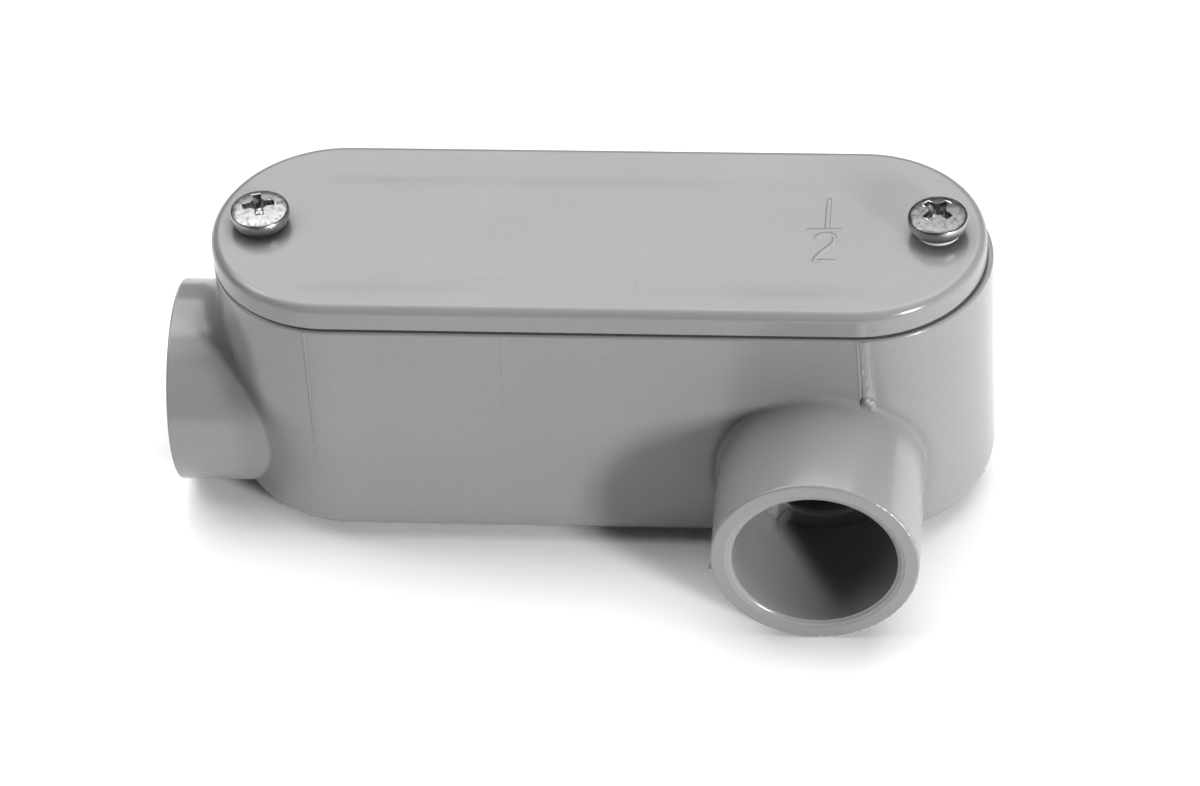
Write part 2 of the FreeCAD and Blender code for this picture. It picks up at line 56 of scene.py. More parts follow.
# ------------------------------------------------------------------ materials
class Nodes:
    """a small helper to wire shader nodes"""

    def __init__(self, name):
        self.mat = bpy.data.materials.new(name)
        self.mat.use_nodes = True
        self.tree = self.mat.node_tree
        self.tree.nodes.clear()
        self.out = self.new("ShaderNodeOutputMaterial")
        self.bsdf = self.new("ShaderNodeBsdfPrincipled")
        self.link(self.bsdf.outputs[0], self.out.inputs["Surface"])
        coords = self.new("ShaderNodeTexCoord")
        scale = self.new("ShaderNodeMapping")
        scale.inputs["Scale"].default_value = (1000.0, 1000.0, 1000.0)
        self.link(coords.outputs["Object"], scale.inputs["Vector"])
        self.mm = scale.outputs[0]          # position in millimetres

    def new(self, kind, **settings):
        n = self.tree.nodes.new(kind)
        for k, v in settings.items():
            setattr(n, k, v)
        return n

    def link(self, a, b):
        self.tree.links.new(a, b)

    def stretched(self, scale, offset=(0.0, 0.0, 0.0), turn=(0.0, 0.0, 0.0)):
        m = self.new("ShaderNodeMapping")
        m.inputs["Scale"].default_value = scale
        m.inputs["Location"].default_value = offset
        m.inputs["Rotation"].default_value = turn
        self.link(self.mm, m.inputs["Vector"])
        return m.outputs[0]

    def noise(self, per_mm, detail=2.0, rough=0.5, vector=None):
        n = self.new("ShaderNodeTexNoise")
        n.inputs["Scale"].default_value = per_mm
        n.inputs["Detail"].default_value = detail
        n.inputs["Roughness"].default_value = rough
        self.link(vector or self.mm, n.inputs["Vector"])
        return n.outputs["Fac"]

    def span(self, value, lo, hi, to_lo, to_hi, smooth=False):
        n = self.new("ShaderNodeMapRange")
        n.interpolation_type = "SMOOTHSTEP" if smooth else "LINEAR"
        for name, v in (("From Min", lo), ("From Max", hi), ("To Min", to_lo), ("To Max", to_hi)):
            n.inputs[name].default_value = v
        self.link(value, n.inputs["Value"])
        return n.outputs["Result"]

    def math(self, op, a, b=None):
        n = self.new("ShaderNodeMath", operation=op)
        for i, v in enumerate((a, b)):
            if v is None:
                continue
            if isinstance(v, (int, float)):
                n.inputs[i].default_value = v
            else:
                self.link(v, n.inputs[i])
        return n.outputs[0]

    def times(self, *values):
        out = values[0]
        for v in values[1:]:
            out = self.math("MULTIPLY", out, v)
        return out

    def grey(self, value, level, tint=(1.0, 1.0, 1.0)):
        """a colour of that level, made lighter or darker by value round 1"""
        n = self.new("ShaderNodeVectorMath", operation="SCALE")
        n.inputs[0].default_value = tuple(level * t for t in tint)
        self.link(value, n.inputs["Scale"])
        return n.outputs[0]

    def bump(self, height, strength, distance_mm, normal=None):
        n = self.new("ShaderNodeBump")
        n.inputs["Strength"].default_value = strength
        n.inputs["Distance"].default_value = distance_mm * MM
        self.link(height, n.inputs["Height"])
        if normal is not None:
            self.link(normal, n.inputs["Normal"])
        return n.outputs[0]

    def near(self, centre, stretch=(1.0, 1.0, 1.0)):
        """distance from a point in mm, with the axes stretched"""
        sub = self.new("ShaderNodeVectorMath", operation="SUBTRACT")
        sub.inputs[1].default_value = centre
        self.link(self.mm, sub.inputs[0])
        mul = self.new("ShaderNodeVectorMath", operation="MULTIPLY")
        mul.inputs[1].default_value = stretch
        self.link(sub.outputs[0], mul.inputs[0])
        ln = self.new("ShaderNodeVectorMath", operation="LENGTH")
        self.link(mul.outputs[0], ln.inputs[0])
        return ln.outputs["Value"]


def root_line(m, centre, stretch, far, wide):
    """1 on the line where a hub meets the wall, 0 further off than wide, in mm"""
    apart = m.new("ShaderNodeSeparateXYZ")
    m.link(m.mm, apart.inputs[0])
    beyond = m.math("MAXIMUM", m.math("SUBTRACT", m.times(apart.outputs["X"], far), HALF_STRAIGHT), 0.0)
    across = m.math("SQRT", m.math("ADD", m.math("POWER", beyond, 2.0), m.math("POWER", apart.outputs["Y"], 2.0)))
    off_wall = m.math("ABSOLUTE", m.math("SUBTRACT", across, HALF_WIDTH + 0.20))
    off_hub = m.math("ABSOLUTE", m.math("SUBTRACT", m.near(centre, stretch), HUB_R + 0.15))
    side = m.span(m.times(apart.outputs["X"], far), 0.0, 1.0, 0.0, 1.0)
    if stretch[1] == 0.0:
        # the side hub stands on the front wall only
        side = m.times(side, m.span(apart.outputs["Y"], -1.0, 0.0, 1.0, 0.0))
    both = m.times(m.span(off_wall, 0.25, wide, 1.0, 0.0, True), m.span(off_hub, 0.25, wide, 1.0, 0.0, True), side)
    return both, m.times(both, m.span(apart.outputs["Z"], 16.5, 21.5, 0.0, 1.0, True))


def pvc(name, level, painted_shade=(), rough=0.21, roots=()):
    """satin moulded PVC: cloudy pigment, fine grain, a few specks, slight sinks, dull in the corners; painted shade at
    the listed spots and in the hub creases
    """
    m = Nodes(name)
    cloud = m.span(m.noise(0.045, 2.0, 0.5), 0.3, 0.7, 0.975, 1.025)
    fine = m.span(m.noise(0.9, 4.0, 0.6), 0.3, 0.7, 0.985, 1.015)
    speck = m.span(m.noise(2.6, 0.0, 0.4, m.stretched((1, 1, 1), (31.0, 7.0, 3.0))), 0.80, 0.86, 1.0, 0.80)
    value = m.times(cloud, fine, speck)
    # painted shade: darker inside each listed spot, fading out at its edge
    for centre, stretch, inner, outer, factor in painted_shade:
        value = m.math("MULTIPLY", value, m.span(m.near(centre, stretch), inner, outer, factor, 1.0, True))
    shine = m.span(m.noise(0.10, 2.0, 0.5), 0.25, 0.75, rough - 0.02, rough + 0.02)
    gloss = None
    for centre, stretch, far, wide, factor, dull in roots:
        line, upper = root_line(m, centre, stretch, far, wide)
        # painted shade: the upper part of the crease over each hub is made darker
        value = m.math("MULTIPLY", value, m.span(upper, 0.0, 1.0, 1.0, factor))
        part = m.span(line, 0.0, 0.8, 1.0, 1.0 - dull)
        gloss = part if gloss is None else m.math("MULTIPLY", gloss, part)
    m.link(m.grey(value, level), m.bsdf.inputs["Base Color"])
    m.link(shine, m.bsdf.inputs["Roughness"])
    grain = m.bump(m.noise(4.5, 2.0, 0.5), 0.07, 0.02)
    hair = m.bump(m.noise(1.1, 2.0, 0.5, m.stretched((0.12, 2.4, 2.4), (3, 9, 1), (0.0, 0.0, 0.35))), 0.04, 0.02, grain)
    sink = m.bump(m.noise(0.07, 0.0, 0.4), 0.14, 0.25, hair)
    m.link(sink, m.bsdf.inputs["Normal"])
    m.bsdf.inputs["IOR"].default_value = 1.53
    m.bsdf.inputs["Specular IOR Level"].default_value = 0.5
    if gloss is not None:
        m.link(m.times(gloss, 0.5), m.bsdf.inputs["Specular IOR Level"])
    return m.mat


def rubber(name):
    m = Nodes(name)
    value = m.times(m.span(m.noise(0.4, 3.0), 0.3, 0.7, 0.8, 1.2), m.span(m.noise(3.0, 2.0), 0.3, 0.7, 0.85, 1.2))
    m.link(m.grey(value, 0.022), m.bsdf.inputs["Base Color"])
    m.link(m.span(m.noise(1.2, 3.0), 0.3, 0.7, 0.62, 0.82), m.bsdf.inputs["Roughness"])
    m.link(m.bump(m.noise(2.2, 3.0, 0.6), 0.5, 0.08), m.bsdf.inputs["Normal"])
    return m.mat


def steel(name, centre, off, level=0.62):
    """plated steel, scuffed on the crown by the driver, dull and dirty down in the recess"""
    m = Nodes(name)
    above = m.new("ShaderNodeSeparateXYZ")
    m.link(m.mm, above.inputs[0])
    crown = m.span(above.outputs["Z"], centre[2] + 1.78, centre[2] + 1.96, 0.0, 1.0, True)
    # the recess: close to the axis and below the crown
    middle = m.span(m.near((centre[0] + off[0], off[1], 0.0), (1.0, 1.0, 0.0)), 2.4, 2.7, 1.0, 0.0)
    deep = m.times(middle, m.span(above.outputs["Z"], centre[2] + 1.70, centre[2] + 2.25, 1.0, 0.0))
    blotch = m.noise(1.7, 5.0, 0.65, m.stretched((1, 1, 1), (centre[0], 3.0, 0.0)))
    spot = m.span(blotch, 0.47, 0.66, 1.0, 0.50, True)
    tone = m.span(m.noise(0.5, 3.0), 0.3, 0.7, 0.90, 1.06)
    side = m.span(crown, 0.0, 1.0, 0.40 / level, 1.0)
    mixed = m.math("ADD", m.times(crown, spot), m.math("SUBTRACT", 1.0, crown))
    streak = m.span(m.noise(2.2, 2.0, 0.6, m.stretched((1.0, 1.0, 0.15))), 0.42, 0.60, 0.35, 1.6, True)
    dirt = m.math("ADD", m.math("SUBTRACT", 1.0, deep), m.times(deep, streak))
    m.link(m.grey(m.times(tone, side, mixed, dirt), level, (1.0, 0.995, 0.985)), m.bsdf.inputs["Base Color"])
    m.bsdf.inputs["Metallic"].default_value = 1.0
    worn = m.span(m.noise(2.6, 4.0, 0.65), 0.35, 0.7, 0.0, 0.12)
    m.link(m.math("ADD", m.span(crown, 0.0, 1.0, 0.33, 0.28), m.math("ADD", worn, m.times(deep, 0.05))),
           m.bsdf.inputs["Roughness"])
    dents = m.bump(m.times(m.noise(1.2, 2.0, 0.5), m.span(crown, 0.0, 1.0, 0.25, 1.0)), 0.35, 0.14)
    scratch = m.bump(m.noise(3.2, 2.0, 0.6, m.stretched((0.4, 2.6, 1.0), (0, 0, 0), (0, 0, 0.9))), 0.16, 0.05, dents)
    m.link(scratch, m.bsdf.inputs["Normal"])
    return m.mat


# painted shade: darker along the upper crease where each hub meets the wall, and painted shadow in two spots beside the
# end hub's crease
HOUSING = pvc("housing_pvc", 0.200, roots=[
    ((0.0, 0.0, AXIS_Z), (0.0, 1.0, 1.0), -1.0, 4.2, 0.72, 0.90),
    ((SIDE_X, 0.0, AXIS_Z), (1.0, 0.0, 1.0), 1.0, 1.8, 0.95, 0.90),
], painted_shade=[
    ((-47.6, -10.8, 23.0), (1.0, 1.0, 0.6), 1.5, 5.0, 0.86),
    ((-52.0, -7.0, 26.5), (0.8, 1.0, 1.0), 1.5, 5.5, 0.86),
])
COVER = pvc("cover_pvc", 0.198, painted_shade=[
    # painted shade in the shallow dips along the front and back of the top and over the sinks beside the screws
    ((36.5, 5.2, 41.7), (0.20, 0.17, 0.2), 0.25, 1.0, 0.955),
    ((-10.0, 9.3, 41.7), (0.030, 0.62, 0.1), 0.2, 1.0, 0.975),
    ((-20.0, -11.0, 41.7), (0.050, 0.62, 0.1), 0.2, 1.0, 0.965),
    ((24.0, -11.5, 41.7), (0.060, 0.62, 0.1), 0.2, 1.0, 0.965),
    ((-40.0, 4.5, 41.7), (0.25, 0.22, 0.2), 0.2, 1.0, 0.975),
    # painted shadow round each screw head, deepest in front of it, and a faint painted shade beside each head where
    # light thrown off its side falls
    ((SCREW_END, -1.0, 41.7), (1.0, 1.0, 0.0), 3.1, 5.2, 0.38),
    ((SCREW_END + 2.1, -4.2, 41.7), (1.0, 1.0, 0.0), 0.4, 1.7, 0.90),
    ((SCREW_FAR, -1.3, 41.7), (1.0, 1.0, 0.0), 3.2, 4.7, 0.55),
    ((SCREW_FAR + 1.9, -4.5, 41.7), (1.0, 1.0, 0.0), 0.4, 1.7, 0.94),
])
RUBBER = rubber("gasket_rubber_black")


def paint(obj, mat):
    if obj.data.materials:
        for i in range(len(obj.data.materials)):
            obj.data.materials[i] = mat
            obj.material_slots[i].material = mat
    else:
        obj.data.materials.append(mat)


paint(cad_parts["housing"], HOUSING)
paint(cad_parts["gasket"], RUBBER)


# -------------------------------------------------------------- mesh helpers
def add_object(name, verts, faces, mat, body, smooth=True, sharp=None):
    """mesh from points in mm"""
    me = bpy.data.meshes.new(name)
    me.from_pydata([(x * MM, y * MM, z * MM) for x, y, z in verts], [], faces)
    me.validate()
    bm = bmesh.new()
    bm.from_mesh(me)
    bmesh.ops.remove_doubles(bm, verts=bm.verts, dist=1e-7)
    bmesh.ops.recalc_face_normals(bm, faces=bm.faces)
    bm.to_mesh(me)
    bm.free()
    me.polygons.foreach_set("use_smooth", [smooth] * len(me.polygons))
    if sharp is not None:
        me.set_sharp_from_angle(angle=math.radians(sharp))
    o = bpy.data.objects.new(name, me)
    bpy.context.scene.collection.objects.link(o)
    me.materials.append(mat)
    if body:
        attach(o, body)
    return o


def grid_faces(rows, cols, closed=False):
    faces = []
    for i in range(rows - 1):
        for j in range(cols if closed else cols - 1):
            k = (j + 1) % cols
            faces.append((i * cols + j, i * cols + k, (i + 1) * cols + k, (i + 1) * cols + j))
    return faces


def wall(x, z, out=0.0):
    """point and outward direction on the front wall of the housing, mm"""
    r = HALF_WIDTH + z * DRAFT
    c = max(-HALF_STRAIGHT, min(HALF_STRAIGHT, x))
    dx = x - c
    dy = -math.sqrt(max(r * r - dx * dx, 0.01))
    n = Vector((dx, dy, 0.0)).normalized()
    return Vector((x, dy, z)) + n * out, n


def smooth_step(t):
    t = max(0.0, min(1.0, t))
    return t * t * (3 - 2 * t)


def bead(name, points, normals, widths, heights, mat, body, sink=0.06, lean=0.0, seed=0.0, rough=0.0, full=0.8, n_sec=9):
    """a raised line with a rounded section, closed underneath, that thins out as its widths say"""
    pts = [Vector(p) for p in points]
    verts, faces = [], []
    for i, p in enumerate(pts):
        t = (pts[min(i + 1, len(pts) - 1)] - pts[max(i - 1, 0)]).normalized()
        n = (Vector(normals[i]) - t * t.dot(Vector(normals[i]))).normalized()
        s = t.cross(n)
        for k in range(n_sec):
            a = math.pi * k / (n_sec - 1)
            j = 1.0 + rough * noise.noise(Vector((p.x * 1.3 + seed, p.z * 1.1 + p.y, k * 0.7)))
            h = heights[i] * j * max(math.sin(a), 0.0) ** full
            verts.append(p + s * (0.5 * widths[i] * math.cos(a) + lean * heights[i] * math.sin(a)) + n * (h - sink))
        verts.append(p - n * (sink + 0.15))
    cols = n_sec + 1
    faces = grid_faces(len(pts), cols, True)
    faces.append(tuple(range(cols - 1, -1, -1)))
    last = (len(pts) - 1) * cols
    faces.append(tuple(range(last, last + cols)))
    return add_object(name, [tuple(v) for v in verts], faces, mat, body, sharp=50)


def along_wall(p0, p1, count, out=0.0):
    """points and outward directions along the front wall between two (x, z) pairs"""
    pts, nrm = [], []
    for i in range(count):
        u = i / (count - 1)
        p, n = wall(p0[0] + (p1[0] - p0[0]) * u, p0[1] + (p1[1] - p0[1]) * u, out)
        pts.append(p)
        nrm.append(n)
    return pts, nrm


# ---------------------------------------------------- traces of the mould
def taper(count, full, start=0.1, end=0.15, low=0.25):
    out = []
    for i in range(count):
        u = i / (count - 1)
        k = min(smooth_step(u / start) if start else 1.0, smooth_step((1 - u) / end) if end else 1.0)
        out.append(full * (low + (1 - low) * k))
    return out


N = 60
pts, nrm = along_wall((-37.72, 37.2), (-38.02, 13.4), N)
w = [0.44 - 0.18 * i / (N - 1) for i in range(N)]
h = [0.10 + 0.07 * math.sin(math.pi * min(1.0, (i + 6) / (N - 1))) for i in range(N)]
h = [a * (1.0 if i < N - 8 else (N - i) / 8.0) for i, a in enumerate(h)]
bead("mould_line_end", pts, nrm, w, h, HOUSING, "housing", sink=0.03, lean=-0.55, rough=0.25)

N = 50
pts, nrm = along_wall((-11.80, 37.0), (-12.20, 18.3), N)
bead("mould_line_middle", pts, nrm, taper(N, 0.26, 0.05, 0.2), [0.05 + 0.02 * math.sin(i * 0.9) for i in range(N)],
     HOUSING, "housing", sink=0.02, rough=0.5, seed=4.0)
pts, nrm = along_wall((-12.35, 16.4), (-12.45, 13.0), 16)
bead("mould_line_middle_foot", pts, nrm, taper(16, 0.36, 0.3, 0.3), taper(16, 0.06, 0.3, 0.3),
     HOUSING, "housing", sink=0.02, seed=9.0)

# the moulded rib over the side hub: a narrow edge, a wider flat band, a lump at the foot
N = 90
pts, nrm = along_wall((35.48, 37.3), (35.76, 25.2), N)
bead("rib_band", pts, nrm, [1.02 + 0.25 * i / N + 0.05 * math.sin(i * 0.17) for i in range(N)],
     [0.085 + 0.015 * math.sin(i * 0.4 + 1) + 0.08 * smooth_step((i - 50) / 30) for i in range(N)],
     HOUSING, "housing", sink=0.03, rough=0.30, seed=2.0, full=0.35, n_sec=17)
pts, nrm = along_wall((34.68, 37.3), (34.90, 25.6), N)
bead("rib_edge", pts, nrm, taper(N, 0.42, 0, 0.1), taper(N, 0.05, 0, 0.2), HOUSING, "housing",
     sink=0.02, seed=6.0, rough=0.3)


def lump(name, centre, radii, axes, mat, body, seed, rough=0.16, frequency=1.2, sub=4):
    """a soft irregular lump, its radii along the three given directions"""
    bm = bmesh.new()
    bmesh.ops.create_icosphere(bm, subdivisions=sub, radius=1.0)
    for v in bm.verts:
        d = v.co.normalized()
        k = 1.0 + rough * noise.fractal(d * frequency + Vector((seed, seed * 0.3, 1.0)), 1.0, 2.0, 3)
        p = Vector(centre) + axes[0] * (d.x * radii[0] * k) + axes[1] * (d.y * radii[1] * k) + axes[2] * (d.z * radii[2] * k)
        v.co = p * MM
    me = bpy.data.meshes.new(name)
    bm.to_mesh(me)
    bm.free()
    me.polygons.foreach_set("use_smooth", [True] * len(me.polygons))
    me.materials.append(mat)
    o = bpy.data.objects.new(name, me)
    bpy.context.scene.collection.objects.link(o)
    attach(o, body)
    return o


p, n = wall(35.82, 26.1)
ax = [Vector((0, 0, 1)).cross(n).normalized(), n, Vector((0, 0, 1))]
lump("rib_foot", p + n * 0.20, (1.02, 0.50, 1.45), ax, HOUSING, "housing", 3.0, 0.24, 1.6)
p, n = wall(35.78, 24.7)
lump("rib_foot_lower", p + n * 1.00, (0.92, 0.90, 0.95), ax, HOUSING, "housing", 8.0, 0.14, 1.4)


# ----------------------------------------------------------------- side hub
def hub_point(angle, y, r):
    a = math.radians(angle)
    return Vector((SIDE_X + r * math.cos(a), y, AXIS_Z + r * math.sin(a))), Vector((math.cos(a), 0.0, math.sin(a)))


# flash left by the mould along the hub, widest at the mouth
N = 24
pts, nrm = [], []
for i in range(N):
    u = i / (N - 1)
    p, n = hub_point(187.0, -SIDE_MOUTH + 0.05 + 5.2 * u, HUB_R - 0.02)
    pts.append(p)
    nrm.append(n)
bead("hub_flash", pts, nrm, [0.40] * N, [0.42 * (1 - i / (N - 1)) ** 1.2 + 0.02 for i in range(N)],
     HOUSING, "housing", sink=0.03)

# the small moulded rib at the bottom of the side socket, up the bore and across the stop
pts, nrm = [], []
for r in (8.5, 9.1, 9.8, 10.3):
    p, n = hub_point(239.0, -SOCKET_END - 0.02, r)
    pts.append(p)
    nrm.append(Vector((0, -1, 0)))
p, n = hub_point(239.0, -SOCKET_END - 0.12, 10.68)
pts.append(p)
nrm.append((Vector((0, -1, 0)) - n).normalized())
for y in (-16.5, -17.0, -17.6, -18.2, -18.8, -19.3):
    p, n = hub_point(239.0, y, BORE_R + 0.02)
    pts.append(p)
    nrm.append(-n)
bead("socket_rib", pts, nrm, [1.0, 1.3, 1.45, 1.45, 1.45, 1.45, 1.45, 1.4, 1.35, 1.3, 1.2],
     [0.12, 0.18, 0.20, 0.20, 0.20, 0.18, 0.16, 0.15, 0.14, 0.12, 0.05], HOUSING, "housing",
     sink=0.03, rough=0.2, full=0.35, n_sec=17)


# the lead-in of the side socket is rounded over, a hair below the mouth's face
SECTION = []
for k in range(11):
    t = k / 10
    r = 11.79 * (1 - t) ** 2 + 10.94 * 2 * t * (1 - t) + 10.835 * t ** 2
    y = 0.07 * (1 - t) ** 2 + 0.10 * 2 * t * (1 - t) + 0.85 * t ** 2
    SECTION.append((r, y))
SECTION += [(11.3, 1.0), (12.0, 0.5)]
verts, sec = [], len(SECTION)
for i in range(180):
    for r, y in SECTION:
        verts.append(tuple(hub_point(2.0 * i, -SIDE_MOUTH + y, r)[0]))
faces = [(i * sec + k, i * sec + (k + 1) % sec, ((i + 1) % 180) * sec + (k + 1) % sec, ((i + 1) % 180) * sec + k)
         for i in range(180) for k in range(sec)]
add_object("socket_rounding", verts, faces, HOUSING, "housing", sharp=40)


# the soft swelling over each hub, where its top runs into the wall
def end_root(angle, out, up):
    a = math.radians(angle)
    y, z = (HUB_R + up) * math.cos(a), AXIS_Z + (HUB_R + up) * math.sin(a)
    return Vector((-HALF_STRAIGHT - math.sqrt((HALF_WIDTH + z * DRAFT) ** 2 - y * y) - out, y, z))


def side_root(angle, out, up):
    a = math.radians(angle)
    x, z = SIDE_X + (HUB_R + up) * math.cos(a), AXIS_Z + (HUB_R + up) * math.sin(a)
    return Vector((x, wall(x, z)[0].y - out, z))


def root_blend(name, place, radial, inward, first, last, flank, reach, rise, seed):
    """closed patch: its upper face leaves the hub and the wall along their own surfaces"""
    verts, count, n = [], 61, 15
    for i in range(count):
        a = first + (last - first) * i / (count - 1)
        k = 0.04 + 0.96 * smooth_step((min(a - first, last - a)) / flank)
        wave = 1.0 + 0.06 * noise.noise(Vector((a * 0.09, seed, 0.3)))
        p0, p1, p2 = place(a, reach * k * wave, 0.0), place(a, 0.0, 0.0), place(a, 0.0, rise * k * wave)
        out = radial(math.radians(a))
        for j in range(n):
            t = j / (n - 1)
            p = p0 * (1 - t) ** 2 + p1 * (2 * t * (1 - t)) + p2 * t ** 2
            verts.append(p - (out * (1 - t) - inward * t) * (0.012 * (1 - 4 * t * (1 - t))))
        verts += [p2 + inward * 0.3, p1 - out * 0.3 + inward * 0.3, p0 - out * 0.3]
    cols = n + 3
    faces = grid_faces(count, cols, True)
    faces.append(tuple(range(cols - 1, -1, -1)))
    faces.append(tuple(range((count - 1) * cols, count * cols)))
    return add_object(name, [tuple(v) for v in verts], faces, HOUSING, "housing", sharp=40)


root_blend("root_blend_end", end_root, lambda a: Vector((0.0, math.cos(a), math.sin(a))), Vector((1.0, 0.0, 0.0)),
           50.0, 130.0, 20.0, 4.0, 3.0, 2.0)
root_blend("root_blend_side", side_root, lambda a: Vector((math.cos(a), 0.0, math.sin(a))), Vector((0.0, 1.0, 0.0)),
           4.0, 140.0, 30.0, 1.6, 0.9, 7.0)


# -------------------------------------------------------------------- cover
def segment_distance(p, a, b):
    ax, ay = a
    bx, by = b
    dx, dy = bx - ax, by - ay
    t = ((p[0] - ax) * dx + (p[1] - ay) * dy) / (dx * dx + dy * dy)
    t = max(0.0, min(1.0, t))
    return math.hypot(p[0] - ax - t * dx, p[1] - ay - t * dy)


# raised trade-size figure: strokes with a round back
STROKES = [
    [(29.95, 6.12), (29.99, 0.50)],
    [(27.70, -0.03), (31.75, 0.05)],
    [(28.67, -1.60), (28.86, -1.22), (29.28, -0.88), (29.90, -0.72), (30.50, -0.82), (30.94, -1.22), (31.12, -1.75),
     (31.04, -2.36), (30.70, -3.04), (30.10, -3.76), (29.42, -4.64), (28.92, -5.44), (28.68, -6.24)],
    [(28.68, -6.24), (31.20, -6.16)],
]
STROKE_HALF, STROKE_HIGH = 0.33, 0.10


def figure_height(x, y):
    if not (26.9 < x < 33.0 and -7.1 < y < 6.9):
        return 0.0
    d = min(segment_distance((x, y), s[i], s[i + 1]) for s in STROKES for i in range(len(s) - 1))
    if d >= STROKE_HALF:
        return 0.0
    return STROKE_HIGH * math.sqrt(1.0 - (d / STROKE_HALF) ** 2)


def panel_height(x, y):
    """slow waves of the moulded top: a long shallow pan, sinks round the screws"""
    u, v = x - COVER_X, y - COVER_Y
    pan = smooth_step((43.0 - abs(u)) / 6.0)
    front = float(np.interp(x, (-40, -36, -26, -17, -8, 2, 8, 16, 22, 26, 40), (0.7, 1.0, 1.0, 0.75, 0.35, 0.2, 0.5, 0.7, 1.0, 1.0, 0.6)))
    back = float(np.interp(x, (-40, -30, -18, -4, 10, 24, 40), (0.8, 1.0, 0.9, 0.85, 0.6, 0.6, 0.4)))
    z = -0.080 * front * pan * smooth_step((v + 13.8) / 2.4)
    z -= 0.060 * back * pan * smooth_step((v - 8.0) / 2.6)
    z += 0.035 * pan * smooth_step((v - 10.4) / 4.5)
    z += 0.035 * pan * float(np.interp(x, (-12, -4), (1.0, 0.4))) * math.exp(-((v + 4.5) / 4.2) ** 2)
    z -= 0.06 * math.exp(-((u - 37.2) / 3.4) ** 2 - ((v - 5.4) / 4.2) ** 2)
    z -= 0.03 * math.exp(-((u + 39.5) / 3.0) ** 2 - ((v - 4.5) / 4.0) ** 2)
    z += 0.012 * noise.noise(Vector((x * 0.11, y * 0.16, 3.7)))
    return z


def inside_edge(x, y):
    """how far inside the outline of the cover, mm"""
    c = max(-COVER_STRAIGHT, min(COVER_STRAIGHT, x - COVER_X))
    return COVER_WIDTH - math.hypot(x - COVER_X - c, y - COVER_Y)


def top_height(x, y):
    calm = smooth_step((inside_edge(x, y) - COVER_ROUND) / 1.2)
    return calm * panel_height(x, y) + figure_height(x, y)


def top_normal(x, y):
    e = 0.03
    return Vector((top_height(x - e, y) - top_height(x + e, y), top_height(x, y - e) - top_height(x, y + e), 2 * e)).normalized()


def build_cover():
    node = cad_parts["cover"]
    bm = bmesh.new()
    bm.from_mesh(node.data)
    for v in bm.verts:
        if v.co.z > (COVER_TOP + 0.004) * MM:
            v.co.z = COVER_TOP * MM
    bmesh.ops.remove_doubles(bm, verts=bm.verts, dist=2e-6)

    def top_faces(box=None):
        out = []
        for f in bm.faces:
            if min(v.co.z for v in f.verts) < (COVER_TOP - 0.002) * MM:
                continue
            if box:
                xs = [v.co.x for v in f.verts]
                ys = [v.co.y for v in f.verts]
                if max(xs) < box[0] * MM or min(xs) > box[1] * MM or max(ys) < box[2] * MM or min(ys) > box[3] * MM:
                    continue
            out.append(f)
        return out

    def slice_at(axis, values, box=None):
        for c in values:
            faces = top_faces(box)
            geom = list({e for f in faces for e in f.edges}) + faces + list({v for f in faces for v in f.verts})
            co = [0.0, 0.0, 0.0]
            no = [0.0, 0.0, 0.0]
            co[axis], no[axis] = c * MM, 1.0
            bmesh.ops.bisect_plane(bm, geom=geom, dist=1e-8, plane_co=co, plane_no=no)

    slice_at(0, np.arange(-50.0, 50.1, 2.5))
    slice_at(1, np.arange(-15.8, 15.9, 0.9))
    box = (27.0, 33.0, -7.0, 6.8)
    slice_at(0, np.arange(27.0, 33.01, 0.15), box)
    slice_at(1, np.arange(-7.0, 6.81, 0.15), box)
    top = set(top_faces())
    is_top = [False] * len(bm.faces)
    bm.faces.index_update()
    for f in top:
        is_top[f.index] = True
    lift = {v for f in top for v in f.verts}
    flat = {v: (v.co.x / MM, v.co.y / MM) for v in lift}
    for v, (x, y) in flat.items():
        v.co.z += top_height(x, y) * MM
    # directions worked out from the shape, so that the long thin faces shade evenly
    normals = []
    for f in bm.faces:
        f.normal_update()
        tip = is_top[f.index]
        for loop in f.loops:
            x, y, z = (c / MM for c in loop.vert.co)
            if tip:
                n = top_normal(x, y)
            else:
                inside = inside_edge(x, y)
                c = max(-COVER_STRAIGHT, min(COVER_STRAIGHT, x - COVER_X))
                side = Vector((x - COVER_X - c, y - COVER_Y, 0.0))
                side = side.normalized() if side.length > 1e-6 else Vector((0, -1, 0))
                if abs(f.normal.z) > 0.998 or inside > COVER_ROUND + 0.02:
                    n = f.normal.copy()
                    hole = min((Vector((x - s, y, 0.0)) for s in (SCREW_END, SCREW_FAR)), key=lambda d: d.length)
                    if abs(f.normal.z) < 0.3 and hole.length < 2.6:
                        n = -hole.normalized()
                elif z < COVER_TOP - COVER_ROUND + 0.005:
                    n = side if abs(f.normal.z) < 0.5 else f.normal.copy()
                    if f.normal.z > 0.05:
                        n = side
                else:
                    up = max(0.0, min(1.0, (z - (COVER_TOP - COVER_ROUND)) / COVER_ROUND))
                    n = side * math.sqrt(1 - up * up) + Vector((0, 0, up))
            normals.append(n.normalized())
    me = bpy.data.meshes.new("cover_plate")
    bm.to_mesh(me)
    bm.free()
    me.polygons.foreach_set("use_smooth", [True] * len(me.polygons))
    me.normals_split_custom_set([tuple(n) for n in normals])
    me.materials.clear()
    me.materials.append(COVER)
    o = bpy.data.objects.new("cover_plate", me)
    bpy.context.scene.collection.objects.link(o)
    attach(o, "cover")
    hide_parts("cover")
    return o


build_cover()


